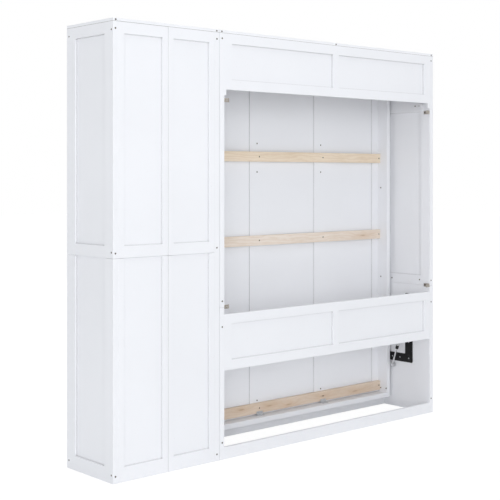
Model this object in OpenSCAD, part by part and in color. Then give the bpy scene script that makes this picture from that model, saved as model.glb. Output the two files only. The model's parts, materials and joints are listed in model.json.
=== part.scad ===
// Wall bed with a closet tower beside it and a desk that folds down from the bed's front.
// X runs along the wall, Y runs from the room to the wall, Z is up. The origin is on the
// floor, under the middle of the whole unit with the bed up and the desk folded.
// "d" in a name or argument is a distance from the wall, measured into the room.

/* [Mattress and bed frame] */
// Width of the mattress that the bed frame holds
mattress_w = 1524; // [1372:1:1930]
// Length of the mattress that the bed frame holds
mattress_l = 2032; // [1880:1:2032]
// Room left beside the mattress, both sides together
mattress_slack_w = 11; // [6:1:30]
// Room left at the ends of the mattress, both ends together
mattress_slack_l = 8; // [4:1:20]
// Thickness of the side rails and of the rail at the bed's bottom
rail_t = 28; // [22:1:32]
// Thickness of the rail at the bed's top
top_rail_t = 18; // [15:1:25]
// How far the rails stand out from the back of the front board
rail_h = 75; // [60:1:90]
// Gap between a side rail and the cabinet's side, where the pivot plates are
rail_gap = 14; // [12:1:16]
// Thickness of the bed's front board
front_t = 17; // [15:1:20]
// Width of the two mullions between the front board's three panels
mullion_w = 94; // [80:1:110]
// Width of the stiles at the front board's two outer edges
edge_stile_w = 90; // [84:1:100]
// Height of the front board's top and bottom rails
board_rail_h = 60; // [50:1:80]
// Depth of the panel recesses in both faces of the front board
board_recess = 5; // [3:1:6]
// Distance between the pine battens across the back of the front board
batten_pitch = 471; // [380:1:480]
// Width of a batten
batten_w = 56; // [45:1:70]
// Thickness of a batten
batten_t = 20; // [15:1:24]

/* [Cabinets] */
// Depth of both cabinets, from the wall to their front edges
depth = 395; // [390:1:450]
// Width of the closet tower
closet_w = 641; // [560:1:800]
// Thickness of the side panels
side_t = 31; // [28:1:34]
// Thickness of the top boards
top_t = 15; // [15:1:25]
// Thickness of the back boards, headers and rails
back_t = 18; // [16:1:22]
// Thickness of the closet's shelves
shelf_t = 18; // [15:1:25]
// Depth of the panel recess in a side panel
side_recess = 11; // [6:1:12]
// Depth of the panel recess in a back board or header
back_recess = 10; // [6:1:12]
// Height of a header across the back of the bed cabinet
header_h = 283; // [220:1:320]
// Top edge of the middle header
middle_header_top = 729; // [700:1:800]
// Height of the rail on the floor at the back of the bed cabinet
bottom_rail_h = 60; // [50:1:70]
// Height of the rail on the floor under the bed's front
kick_h = 42; // [30:1:44]
// Height of the closet's kick rail
closet_kick_h = 52; // [45:1:90]
// Height where the closet's upper and lower panels meet
closet_seam_z = 1043; // [1000:1:1100]
// Height where the bed cabinet's upper and lower side panels meet
bed_seam_z = 765; // [750:1:850]

/* [Mechanism] */
// How far the bed's pivot lies behind the cabinet's front edge
pivot_back = 60; // [50:1:63]
// Height of the bed's pivot
pivot_z = 308; // [300:1:330]
// Radius of the bed's pivot pin
pivot_pin_r = 6; // [5:0.5:7]
// Thickness of the steel pivot plates
plate_t = 4; // [3:0.5:5]
// How far a gas strut's upper stud lies behind the bed's pivot
strut_top_back = 213; // [206:1:219]
// Height of a gas strut's upper stud
strut_top_z = 692; // [660:1:700]
// How far a strut's lower stud lies behind the bed's pivot
strut_foot_back = 65; // [61:1:68]
// How far a strut's lower stud lies below the bed's pivot
strut_foot_drop = 50; // [44:1:56]
// Radius of a gas strut's cylinder
strut_r = 11; // [9:1:12]
// Radius of a gas strut's rod
rod_r = 5; // [4:0.5:6]

/* [Desk and legs] */
// Width of the desk board
desk_w = 1200; // [900:10:1400]
// Depth of the desk board, from its hinges to its free edge
desk_l = 450; // [380:5:520]
// Thickness of the desk board
desk_t = 18; // [15:1:25]
// Height of the desk's work surface when it is down
desk_z = 740; // [700:5:780]
// Radius of the tube that the fold-out legs are made of
tube_r = 11; // [8:0.5:12]
// Distance from an end of the desk board to the middle of its leg
desk_leg_inset = 60; // [40:1:120]
// Distance from an outer edge of the bed's front board to the middle of the bed's leg
bed_leg_inset = 51; // [48:1:55]
// Height of the bed legs' hinges with the bed up
bed_leg_z = 1975; // [1900:5:2040]

/* [Handles and fasteners] */
// Distance between a handle's two posts
handle_pitch = 160; // [96:32:192]
// How far a handle's bar stands off, to its middle
handle_reach = 26; // [20:1:30]
// Radius of a handle's bar
handle_r = 5; // [4:0.5:7]
// Radius of a screw's head
screw_head_r = 4.5; // [3.5:0.5:6]
// Radius of a wall fixing hole
wall_hole_r = 3; // [2.5:0.5:4]

/* [Hidden] */
// The names of all sub-parts
$fn = 32;

// Colours
WHITE = [0.93, 0.93, 0.94];
PINE = [0.86, 0.72, 0.52];
BLACK = [0.05, 0.05, 0.05];
ZINC = [0.72, 0.73, 0.74];
DULL_ZINC = [0.52, 0.50, 0.47];

// Clearances and small fits
over = 1;            // how far a cut runs past a face
run_fit = 0.05;      // radial clearance of a pin in its bore
seat = 0.3;          // gap between pieces that move past each other
joint_gap = 2;       // gap between the two cabinets
seam = 1;            // gap between stacked or neighbouring boards
board_gap = 4;       // gap between the bed's front board and the cabinet beside it
door_gap = 2;        // gap round the closet's doors and drawers
top_gap = 5;         // gap between the bed and the bed cabinet's top board
floor_gap = 54;      // height of the bed's lower edge above the floor

// Bed heights
mattress_z = floor_gap + rail_t;
rails_top = mattress_z + mattress_l + mattress_slack_l;
bed_top_z = rails_top + top_rail_t;
height = bed_top_z + top_gap + top_t;
side_h = height - top_t;

// Widths, and where the two cabinets lie along the wall
bay_w = mattress_w + mattress_slack_w;
bed_open_w = bay_w + 2 * (rail_t + rail_gap);
bed_cabinet_w = bed_open_w + 2 * side_t;
total_w = closet_w + joint_gap + bed_cabinet_w;
bed_x0 = -total_w / 2;
open_x0 = bed_x0 + side_t;
open_x1 = open_x0 + bed_open_w;
bed_x1 = open_x1 + side_t;
closet_x0 = bed_x1 + joint_gap;
closet_x1 = total_w / 2;
room_x0 = closet_x0 + side_t;
room_x1 = closet_x1 - side_t;
room_w = room_x1 - room_x0;
bed_mid = (open_x0 + open_x1) / 2;
closet_mid = (room_x0 + room_x1) / 2;

// Distances from the wall
pivot_d = depth - pivot_back;
strut_top_d = pivot_d - strut_top_back;
board_d = depth - front_t;
rail_d = board_d - rail_h;
batten_d = board_d - batten_t;
hinge_r = 3.8;
hinge_pin_r = 2;
desk_gap = 3;
desk_in = depth + desk_gap;
desk_out = desk_in + desk_t;
leg_offset = tube_r + 3;
foot_r = tube_r + 2;
desk_leg_d = desk_out + leg_offset;
bed_leg_d = depth + leg_offset;
front_most = desk_leg_d + foot_r;
wall_y = front_most / 2;

// Desk hinge and the legs' lengths, so that the feet reach the floor
desk_axis_d = depth + hinge_r + seat;
desk_edge_gap = hinge_r + 2.2;
desk_leg_in = 16;    // from the desk's free edge to the middle of its legs
desk_axis_z = desk_z - (desk_axis_d - desk_in);
desk_bottom = desk_axis_z + desk_edge_gap;
desk_leg_z = desk_bottom + desk_l - desk_leg_in;
desk_leg_l = desk_axis_z - (desk_leg_d - desk_axis_d);
bed_leg_l = pivot_z - (bed_leg_d - pivot_d);

// Gas strut: its ends with the bed up and with the bed down
strut_foot_d = pivot_d - strut_foot_back;
strut_foot_z = pivot_z - strut_foot_drop;
strut_up = [strut_foot_d - strut_top_d, strut_foot_z - strut_top_z];
strut_down = [pivot_d - strut_foot_drop - strut_top_d, pivot_z + strut_foot_back - strut_top_z];
strut_long = norm(strut_up);
strut_short = norm(strut_down);
strut_angle = atan2(strut_up[0], -strut_up[1]);
strut_inset = rail_gap + rail_t / 2;
rod_end_r = 7;
cylinder_l = strut_short - rod_end_r - 1;
cap_l = 24;
cap_r = strut_r - 1;

// Closet levels
niche_h = 367;
hat_space_h = 365;
hanging_drop = 60;
niche_top = closet_seam_z + 14;
niche_floor = niche_top - niche_h;
door_z0 = niche_top + shelf_t + door_gap;
door_z1 = side_h - door_gap;
door_w = (room_w - 3 * door_gap) / 2;
drawers_z0 = closet_kick_h + shelf_t;
drawers_z1 = niche_floor - shelf_t;
drawer_face_h = (drawers_z1 - drawers_z0 - 3 * door_gap) / 2;
hat_shelf_z = side_h - hat_space_h;
hanging_z = hat_shelf_z - hanging_drop;

// Drawers and their runners
face_d = depth - back_t;
drawer_rear_gap = 14;
drawer_lift = 25;
drawer_l = face_d - back_t - drawer_rear_gap;
drawer_h = drawer_face_h - drawer_lift - 45;
drawer_side_t = 12;
drawer_floor_t = 8;
drawer_d0 = face_d - drawer_l;
lower_drawer_z = drawers_z0 + door_gap;
upper_drawer_z = lower_drawer_z + drawer_face_h + door_gap;
runner_w = 12.5;
runner_h = 42;
runner_t = 1.5;
runner_front_gap = 4;
channel_w = runner_w - 2.5;
slide_gap = 0.5;

// Fasteners
screw_head_h = 2;
screw_r = 2.5;
screw_l = 28;
screw_tip = 0.5;
face_screw_l = 10;
rail_screw_l = 20;
bracket_screw_l = 20;
wall_bracket_screw_l = 16;
low_bolt_l = front_t - 3;

// Heights of the screws in the side panels' rear edges
edge_end_inset = 33;
bed_edge_low = 85;
bed_edge_top_inset = 27;
closet_edge_screws = [edge_end_inset, closet_seam_z + 24, side_h - edge_end_inset];
bed_edge_screws = [bed_edge_low, middle_header_top - 62, middle_header_top + 67, side_h - bed_edge_top_inset];
closet_outer_edge_x = closet_x1 - 14;
closet_inner_edge_x = closet_x0 + 15;
bed_inner_edge_x = bed_x1 - 18;
bed_outer_edge_x = bed_x0 + 17;

// Screws in the side panels' outer faces, as [d, z]
rear_inset = 14;
front_inset = 18;
end_inset = 39;
seam_inset = 28;
function face_places(seam_z) = [
    [rear_inset, end_inset], [rear_inset, seam_z + seam_inset], [rear_inset, side_h - end_inset],
    [depth - front_inset, end_inset], [depth - front_inset, side_h - end_inset]
];
closet_face_screws = face_places(closet_seam_z);
bed_face_screws = face_places(bed_seam_z);

// Screws in the inner faces of the bed cabinet's side panels, as [d, z]
header_z0 = side_h - header_h;
inner_face_screws = [[113, header_z0 - 12], [81, header_z0 - 12],
                     [78, bed_seam_z + 31], [298, bed_seam_z + 27]];

// Screws down through the top boards, as [x, d], and into the top boards' rear edges
top_screw_ds = [45, depth - front_inset];
header_screw_x = 300;
closet_side_mids = [closet_x0 + side_t / 2, closet_x1 - side_t / 2];
bed_side_mids = [bed_x0 + side_t / 2, bed_x1 - side_t / 2];
closet_top_places = [for (x = closet_side_mids, d = top_screw_ds) [x, d]];
bed_top_places = concat([for (x = bed_side_mids, d = top_screw_ds) [x, d]],
                        [for (side = [-1, 1]) [bed_mid + side * header_screw_x, back_t / 2]]);
bed_top_edge_xs = concat(bed_side_mids, [bed_mid]);

// Angle brackets that hold the unit to the wall
wall_bracket_z = [middle_header_top + 38, header_z0 - 54];
wall_bracket_w = 32;
wall_bracket_leg = 44;
wall_bracket_h = 20;
wall_bracket_t = 2;
wall_bracket_screw_in = 9;
wall_hole_in = 18;

// The pivot brackets: an upright, an arm to the pivot and a short arm to the strut's upper stud
bracket_w = 57;
bracket_d = pivot_d - 175;
bracket_arm_h = 51;
bracket_end = 14;
plate_corner = 8;
bracket_screw_ups = [0, 100, 210, 320];
bracket_screw_outs = [70, 130];
bracket_screws = concat([for (up = bracket_screw_ups) [bracket_d, pivot_z + up]],
                        [for (out = bracket_screw_outs) [bracket_d + out, pivot_z]]);

// Bolts that join the two cabinets, through the closet's inner side, as [d, z]
joining_l = side_t + joint_gap + 12;
joining_ds = [60, depth - 65];
joining_zs = [niche_floor + 180, door_z0 + 250, hat_shelf_z - 100];
joining_places = [for (d = joining_ds, z = joining_zs) [d, z]];

// The bed's front board, with three equal panels in each face
front_x0 = open_x0 + board_gap;
front_x1 = open_x1 - board_gap;
field_w = (front_x1 - front_x0 - 2 * mullion_w - 2 * edge_stile_w) / 3;
lock_rail = [desk_axis_z - 95, desk_axis_z + 25];
desk_leg_span = desk_w - 2 * desk_leg_inset;
bed_leg_span = front_x1 - front_x0 - 2 * bed_leg_inset;

// The bed's rails and battens, and the bolts and screws near each mullion
rail_x0 = open_x0 + rail_gap;
bay_x0 = rail_x0 + rail_t;
bay_x1 = bay_x0 + bay_w;
batten_rise = 11;    // gap between the bed's bottom rail and the lowest batten
batten_z0 = mattress_z + batten_rise + batten_w / 2;
batten_n = floor((rails_top - batten_w / 2 - batten_z0) / batten_pitch) + 1;
batten_heights = [for (i = [0 : batten_n - 1]) batten_z0 + i * batten_pitch];
batten_end_in = 11;
bolt_side = 7;       // how far the bolts sit to the left of a mullion's middle
bolt_xs = [for (side = [-1, 1]) bed_mid + side * (field_w + mullion_w) / 2 - bolt_side];
batten_xs = concat([bay_x0 + batten_end_in], bolt_xs, [bay_x1 - batten_end_in]);
handle_batten = 3;   // the batten that the handles' middle lies beside
handle_z = batten_heights[handle_batten] - 6;
handle_bolt_z = [handle_z - handle_pitch / 2, handle_z + handle_pitch / 2];
low_bolt_z = batten_z0 + batten_w / 2 + 12;
corner_bracket_w = 46;
corner_leg = 22;
corner_t = 2;

// Screws in the inner faces of the side rails, as [d, z]
rail_screw_d = board_d - 25;
rail_screws = [[rail_screw_d, batten_z0 - 15], [rail_d + 6, batten_z0 - 14],
               [rail_screw_d, bed_seam_z + 34], [rail_screw_d, bed_seam_z + 587]];

// Small sizes of boards and fittings
side_stile_rear = 70;
side_stile_front = 72;
back_stile = 33;
upper_rail_h = 54;
lower_rail_h = 57;
foot_rail_h = 70;
inner_top_rail = 47;
header_rail = 50;
header_mullion_w = 45;
kick_back = 19;
stop_h = 60;
stop_depth = 20;
stop_z = header_z0 - 20;
block_w = 12;
block_ds = [50, 72];
block_zs = [header_z0 - 39, header_z0 - 1];
cleat_w = 14;
cleat_h = 30;
hat_shelf_d = face_d - 20;
pin_r = 3;
pin_in = 8;
pin_inset = 50;
hanging_d = 200;
hanging_r = 12.5;
socket_t = 3;
pivot_pin_in = 20;
stud_r = 4;
eye_t = 12;
rod_inside = 60;
leg_pin_r = 4;
foot_h = 14;
foot_sole = 3;
tube_wall = 1.5;
desk_bar_up = 90;
bed_bar_up = 40;
hinge_l = 60;
desk_hinge_l = 66;
desk_hinge_shares = [-0.42, -0.15, 0.15, 0.42];
leaf_w = 24;
leaf_t = 2;
hinge_axis_d = depth + hinge_r + seat;
door_frame = 55;
drawer_frame = 45;
door_handle_z = door_z0 + 380;
door_hinge_in = 90;
door_hinge_z = [door_z0 + door_hinge_in, (door_z0 + door_z1 - hinge_l) / 2,
                door_z1 - door_hinge_in - hinge_l];

// ---- Helpers ----

// A box given by its ends along X, its distances from the wall and its heights
module slab(x0, x1, d0, d1, z0, z1) {
    translate([x0, wall_y - d1, z0])
        cube([x1 - x0, d1 - d0, z1 - z0]);
}

// A place given by X, the distance from the wall and the height
module at(x, d, z) {
    translate([x, wall_y - d, z])
        children();
}

// A screw along Z into the face at z = 0, with its head sunk flush with that face
module screw(length = screw_l) {
    translate([0, 0, -screw_head_h])
        cylinder(r = screw_head_r, h = screw_head_h);
    translate([0, 0, -length])
        cylinder(r = screw_r, h = length);
}

// The hole of a flush screw, with the counterbore for its head
module screw_hole(length = screw_l) {
    translate([0, 0, -screw_head_h])
        cylinder(r = screw_head_r + run_fit, h = screw_head_h + over);
    translate([0, 0, -length - screw_tip])
        cylinder(r = screw_r + run_fit, h = length + screw_tip);
}

// A screw whose head stands on the face at z = 0, and its hole
module pan_screw(length) {
    translate([0, 0, screw_head_h]) screw(length + screw_head_h);
}

module pan_screw_hole(length) {
    translate([0, 0, -length - screw_tip])
        cylinder(r = screw_r + run_fit, h = length + screw_tip + over);
}

// Turns +Z towards the wall or towards +X
module to_wall() { rotate([-90, 0, 0]) children(); }
module to_right() { rotate([0, 90, 0]) children(); }

// Screws in a side panel's rear edge
module on_rear_edge(x, heights) {
    for (z = heights)
        at(x, 0, z) to_wall() children();
}

// Screws in a side panel's outer face; side is 1 for the face at +X, -1 for the face at -X
module on_outer_face(x, places, side) {
    for (p = places)
        at(x, p[0], p[1]) rotate([0, 90 * side, 0]) children();
}

// Places the children where bolts join the cabinets, on the closet's inner side
module joining() {
    for (p = joining_places)
        at(room_x0, p[0], p[1]) rotate([0, 90, 0]) children();
}

// Screws down through a top board
module on_top(places) {
    for (p = places)
        at(p[0], p[1], height) children();
}

// Screws in a top board's rear edge
module on_top_edge(xs) {
    for (x = xs)
        at(x, 0, side_h + top_t / 2) to_wall() children();
}

// A board across the unit with panel recesses in its wall face; cells are [x0, x1, z0, z1]
module back_board(x0, x1, z0, z1, cells, recess) {
    difference() {
        slab(x0, x1, 0, back_t, z0, z1);
        for (c = cells)
            slab(c[0], c[1], -over, recess, c[2], c[3]);
    }
}

// A bar handle's two posts and its bar, along Z, standing out along -Y from y = 0
module handle() {
    for (z = [-handle_pitch / 2, handle_pitch / 2])
        translate([0, 0, z]) rotate([90, 0, 0]) cylinder(r = handle_r - 1, h = handle_reach);
    translate([0, -handle_reach, -handle_pitch / 2 - 20])
        cylinder(r = handle_r, h = handle_pitch + 40);
}

// Fixed half of a butt hinge along Z: two end knuckles and the pin between them
module hinge_fixed(length) {
    third = length / 3;
    for (z = [0, 2 * third + seat])
        translate([0, 0, z]) cylinder(r = hinge_r, h = third - seat);
    translate([0, 0, third - seat - 0.5])
        cylinder(r = hinge_pin_r, h = third + 2 * seat + 1);
}

// Moving half of a butt hinge along Z: the middle knuckle with its bore
module hinge_moving(length) {
    third = length / 3;
    translate([0, 0, third])
        difference() {
            cylinder(r = hinge_r, h = third);
            translate([0, 0, -over]) cylinder(r = hinge_pin_r + run_fit, h = third + 2 * over);
        }
}

// ---- Closet tower ----

module closet_outer_side_upper() {
    color(WHITE)
        difference() {
            slab(room_x1, closet_x1, 0, depth, closet_seam_z + seam / 2, side_h);
            slab(closet_x1 - side_recess, closet_x1 + over, side_stile_rear, depth - side_stile_front,
                 closet_seam_z + lower_rail_h, side_h - upper_rail_h);
            on_rear_edge(closet_outer_edge_x, closet_edge_screws) screw_hole();
            on_outer_face(closet_x1, closet_face_screws, 1) screw_hole(face_screw_l);
            on_top(closet_top_places) screw_hole();
            shelf_pins(run_fit);
        }
}

module closet_outer_side_lower() {
    color(WHITE)
        difference() {
            slab(room_x1, closet_x1, 0, depth, 0, closet_seam_z - seam / 2);
            slab(closet_x1 - side_recess, closet_x1 + over, side_stile_rear, depth - side_stile_front,
                 foot_rail_h, closet_seam_z + over);
            on_rear_edge(closet_outer_edge_x, closet_edge_screws) screw_hole();
            on_outer_face(closet_x1, closet_face_screws, 1) screw_hole(face_screw_l);
        }
}

module closet_inner_side() {
    color(WHITE)
        difference() {
            slab(closet_x0, room_x0, 0, depth, 0, side_h);
            on_rear_edge(closet_inner_edge_x, closet_edge_screws) screw_hole();
            on_top(closet_top_places) screw_hole();
            shelf_pins(run_fit);
            joining() screw_hole(joining_l);
        }
}

module closet_top() {
    color(WHITE)
        difference() {
            slab(closet_x0, closet_x1, 0, depth, side_h, height);
            on_top(closet_top_places) screw_hole();
            on_top_edge(closet_side_mids) screw_hole();
        }
}

// Two back boards side by side, with their panel recesses between the heights p0 and p1
module closet_back(z0, z1, p0, p1) {
    half = room_w / 2;
    for (i = [0, 1]) {
        x0 = room_x0 + i * (half + seam / 2);
        x1 = x0 + half - seam / 2;
        back_board(x0, x1, z0, z1, [[x0 + back_stile, x1 - back_stile, p0, p1]], back_recess);
    }
}

module closet_back_upper() {
    color(WHITE)
        closet_back(closet_seam_z + seam / 2, side_h, closet_seam_z + lower_rail_h, side_h - upper_rail_h);
}

module closet_back_lower() {
    color(WHITE)
        closet_back(0, closet_seam_z - seam / 2, foot_rail_h, closet_seam_z + over);
}

module closet_fixed_shelves() {
    color(WHITE) {
        slab(room_x0, room_x1, back_t, depth, niche_top, niche_top + shelf_t);
        slab(room_x0, room_x1, back_t, depth, niche_floor - shelf_t, niche_floor);
    }
}

module closet_hat_shelf() {
    color(WHITE)
        slab(room_x0 + seat, room_x1 - seat, back_t + seat, hat_shelf_d, hat_shelf_z, hat_shelf_z + shelf_t);
}

// The four pins under the hat shelf, or with extra > 0 the holes that they sit in
module shelf_pins(extra = 0) {
    for (x = [room_x0, room_x1], d = [back_t + pin_inset, hat_shelf_d - pin_inset])
        at(x - pin_in - extra, d, hat_shelf_z - pin_r)
            to_right() cylinder(r = pin_r + extra, h = 2 * (pin_in + extra));
}

module shelf_and_rail_supports() {
    color(ZINC) {
        shelf_pins();
        for (side = [0, 1])
            at(side == 0 ? room_x0 : room_x1, hanging_d, hanging_z)
                rotate([0, side == 0 ? 90 : -90, 0])
                    difference() {
                        union() {
                            cylinder(r = hanging_r + 9, h = socket_t);
                            cylinder(r = hanging_r + 3, h = 3 * socket_t);
                        }
                        translate([0, 0, socket_t])
                            cylinder(r = hanging_r + run_fit, h = 3 * socket_t);
                    }
    }
}

module hanging_rail() {
    color(ZINC)
        at(room_x0 + socket_t, hanging_d, hanging_z)
            to_right()
                difference() {
                    cylinder(r = hanging_r, h = room_w - 2 * socket_t);
                    translate([0, 0, -over]) cylinder(r = hanging_r - 1.5, h = room_w);
                }
}

module closet_bottom() {
    color(WHITE)
        slab(room_x0, room_x1, back_t, depth, closet_kick_h, closet_kick_h + shelf_t);
}

module closet_kick_rail() {
    color(WHITE)
        slab(room_x0, room_x1, depth - 12 - shelf_t, depth - 12, 0, closet_kick_h);
}

// ---- Bed cabinet ----

// The panel recess in the inner face of an upper side board; x is that face, into is 1 or -1
module inner_recess(x, into) {
    x_in = x + into * side_recess;
    slab(min(x - into * over, x_in), max(x - into * over, x_in), side_stile_rear, depth - side_stile_front,
         bed_seam_z + lower_rail_h, header_z0 - inner_top_rail);
}

// Every screw hole and bracket fixing that a bed cabinet side has
module bed_side_holes() {
    on_rear_edge(bed_outer_edge_x, bed_edge_screws) screw_hole();
    on_rear_edge(bed_inner_edge_x, bed_edge_screws) screw_hole();
    on_outer_face(bed_x0, bed_face_screws, -1) screw_hole(face_screw_l);
    on_top(bed_top_places) screw_hole();
    both_sides() {
        on_inner_face() screw_hole(face_screw_l);
        bracket_fixings() screw_hole(bracket_screw_l);
        wall_bracket_fixings() pan_screw_hole(wall_bracket_screw_l);
    }
}

module bed_side_inner() {
    color(WHITE)
        difference() {
            union() {
                slab(open_x1, bed_x1, 0, depth, 0, bed_seam_z - seam / 2);
                slab(open_x1, bed_x1, 0, depth, bed_seam_z + seam / 2, side_h);
            }
            inner_recess(open_x1, 1);
            bed_side_holes();
            joining() screw_hole(joining_l);
        }
}

module bed_side_outer_upper() {
    color(WHITE)
        difference() {
            slab(bed_x0, open_x0, 0, depth, bed_seam_z + seam / 2, side_h);
            inner_recess(open_x0, -1);
            slab(bed_x0 - over, bed_x0 + side_recess, side_stile_rear, depth - side_stile_front,
                 bed_seam_z + lower_rail_h, side_h - upper_rail_h);
            bed_side_holes();
        }
}

module bed_side_outer_lower() {
    color(WHITE)
        difference() {
            slab(bed_x0, open_x0, 0, depth, 0, bed_seam_z - seam / 2);
            slab(bed_x0 - over, bed_x0 + side_recess, side_stile_rear, depth - side_stile_front,
                 foot_rail_h, bed_seam_z + over);
            bed_side_holes();
        }
}

module bed_top() {
    color(WHITE)
        difference() {
            slab(bed_x0, bed_x1, 0, depth, side_h, height);
            on_top(bed_top_places) screw_hole();
            on_top_edge(bed_top_edge_xs) screw_hole();
        }
}

// A header across the back, with two panel recesses either side of a mullion
module header(z0) {
    z1 = z0 + header_h;
    p0 = z0 + header_rail;
    p1 = z1 - header_rail;
    back_board(open_x0, open_x1, z0, z1,
               [[open_x0 + header_rail, bed_mid - header_mullion_w / 2, p0, p1],
                [bed_mid + header_mullion_w / 2, open_x1 - header_rail, p0, p1]],
               side_recess);
}

module rear_top_header() {
    color(WHITE)
        difference() {
            header(header_z0);
            on_top(bed_top_places) screw_hole();
        }
}

module rear_middle_header() {
    color(WHITE)
        header(middle_header_top - header_h);
}

module rear_bottom_rail() {
    color(WHITE)
        slab(open_x0, open_x1, 0, back_t, 0, bottom_rail_h);
}

module front_kick_rail() {
    color(WHITE)
        slab(open_x0, open_x1, depth - kick_back - back_t, depth - kick_back, 0, kick_h);
}

// Repeats the pieces of the left side on the right side of the bed cabinet
module both_sides() {
    children();
    translate([2 * bed_mid, 0, 0])
        mirror([1, 0, 0]) children();
}

// Screws in the left side panel's inner face
module on_inner_face() {
    for (p = inner_face_screws)
        at(open_x0, p[0], p[1]) to_right() children();
}

// The screw places of the left pivot bracket
module bracket_fixings() {
    for (p = bracket_screws)
        at(open_x0 + plate_t, p[0], p[1]) to_right() children();
}

// The screw places of the left wall brackets, in the side panel's inner face
module wall_bracket_fixings() {
    for (z = wall_bracket_z)
        at(open_x0 + wall_bracket_t, wall_bracket_leg - wall_bracket_screw_in, z) to_right() children();
}

module cabinet_screws() {
    color(BLACK) {
        on_rear_edge(closet_outer_edge_x, closet_edge_screws) screw();
        on_rear_edge(closet_inner_edge_x, closet_edge_screws) screw();
        on_rear_edge(bed_inner_edge_x, bed_edge_screws) screw();
        on_rear_edge(bed_outer_edge_x, bed_edge_screws) screw();
        on_outer_face(closet_x1, closet_face_screws, 1) screw(face_screw_l);
        on_outer_face(bed_x0, bed_face_screws, -1) screw(face_screw_l);
        on_top(closet_top_places) screw();
        on_top(bed_top_places) screw();
        on_top_edge(closet_side_mids) screw();
        on_top_edge(bed_top_edge_xs) screw();
        joining() screw(joining_l);
        both_sides() {
            on_inner_face() screw(face_screw_l);
            bracket_fixings() screw(bracket_screw_l);
            wall_bracket_fixings() pan_screw(wall_bracket_screw_l);
        }
    }
}

module wall_brackets() {
    half_h = wall_bracket_h / 2;
    color(DULL_ZINC)
        both_sides()
            difference() {
                for (z = wall_bracket_z) {
                    slab(open_x0, open_x0 + wall_bracket_t, 0, wall_bracket_leg, z - half_h, z + half_h);
                    slab(open_x0, open_x0 + wall_bracket_w, 0, wall_bracket_t, z - half_h, z + half_h);
                }
                wall_bracket_fixings() pan_screw_hole(wall_bracket_screw_l);
                for (z = wall_bracket_z)
                    at(open_x0 + wall_hole_in, wall_bracket_t + over, z)
                        to_wall() cylinder(r = wall_hole_r, h = wall_bracket_t + 2 * over);
            }
}

// A plate with round corners in the plane of a side panel, thick along X
module plate(x0, x1, d0, d1, z0, z1) {
    r = plate_corner;
    slab(x0, x1, d0 + r, d1 - r, z0, z1);
    slab(x0, x1, d0, d1, z0 + r, z1 - r);
    for (d = [d0 + r, d1 - r], z = [z0 + r, z1 - r])
        at(x0, d, z) to_right() cylinder(r = r, h = x1 - x0);
}

module pivot_brackets() {
    x1 = open_x0 + plate_t;
    upright_d0 = bracket_d - bracket_w / 2;
    arm_d1 = pivot_d + bracket_arm_h / 2;
    arm_z0 = pivot_z - bracket_arm_h / 2;
    top = strut_top_z + bracket_end;
    color(BLACK)
        both_sides()
            difference() {
                union() {
                    plate(open_x0, x1, upright_d0, bracket_d + bracket_w / 2, arm_z0, top);
                    plate(open_x0, x1, upright_d0, arm_d1, arm_z0, arm_z0 + bracket_arm_h);
                    plate(open_x0, x1, strut_top_d - bracket_end, bracket_d, strut_top_z - bracket_end, top);
                }
                bracket_fixings() screw_hole(bracket_screw_l);
            }
}

// The pivot pins with their shoulders, and the struts' upper studs, welded to the brackets
module bracket_studs() {
    x1 = open_x0 + plate_t;
    pin_shoulder = rail_gap - 2 * plate_t - seat;
    stud_shoulder = strut_inset - eye_t / 2 - plate_t - seat;
    rim = 3;
    color(ZINC)
        both_sides() {
            at(x1, pivot_d, pivot_z) to_right() {
                cylinder(r = pivot_pin_r + rim, h = pin_shoulder);
                cylinder(r = pivot_pin_r, h = pin_shoulder + plate_t + pivot_pin_in);
            }
            at(x1, strut_top_d, strut_top_z) to_right() {
                cylinder(r = stud_r + rim, h = stud_shoulder);
                cylinder(r = stud_r, h = stud_shoulder + eye_t + 2);
            }
        }
}

// One pair of fixed runner channels for the drawer whose face starts at z0
module runner_pair(z0) {
    zc = z0 + drawer_lift + drawer_h / 2;
    translate([closet_mid, 0, 0])
        for (m = [0, 1])
            mirror([m, 0, 0]) translate([-closet_mid, 0, 0])
                difference() {
                    slab(room_x0, room_x0 + channel_w, drawer_d0, face_d - runner_front_gap,
                         zc - runner_h / 2, zc + runner_h / 2);
                    slab(room_x0 + runner_t, room_x0 + runner_w, drawer_d0 - over, face_d,
                         zc - runner_h / 2 + runner_t, zc + runner_h / 2 - runner_t);
                }
}

module drawer_runners() {
    color(ZINC) {
        runner_pair(lower_drawer_z);
        runner_pair(upper_drawer_z);
    }
}

// On the side panels: stops that the bed's front board closes against, and a block and a cleat
// under the upper header
module bed_stops() {
    color(WHITE)
        both_sides() {
            slab(open_x0, open_x0 + block_w, board_d - stop_depth, board_d - seat, stop_z, stop_z + stop_h);
            slab(open_x0, open_x0 + block_w, block_ds[0], block_ds[1], block_zs[0], block_zs[1]);
            slab(open_x0, open_x0 + cleat_w, 0, back_t, header_z0 - cleat_h, header_z0);
        }
}

// Places the children at a closet door's three hinges, on the right or the left side
module door_hinges(side) {
    x = side == 1 ? room_x1 - door_gap / 2 : room_x0 + door_gap / 2;
    for (z = door_hinge_z)
        at(x, hinge_axis_d, z) mirror([side == 1 ? 0 : 1, 0, 0]) children();
}

module door_hinge_plates() {
    color(ZINC)
        for (side = [-1, 1])
            door_hinges(side) {
                hinge_fixed(hinge_l);
                translate([hinge_r + seat, hinge_r + seat - leaf_t, 0])
                    cube([leaf_w - hinge_r, leaf_t, hinge_l]);
                for (z = [0, 2 * hinge_l / 3 + seat])
                    translate([0, hinge_r + seat - leaf_t, z])
                        cube([hinge_r + 1, leaf_t, hinge_l / 3 - seat]);
            }
}

// ---- Bed ----

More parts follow.
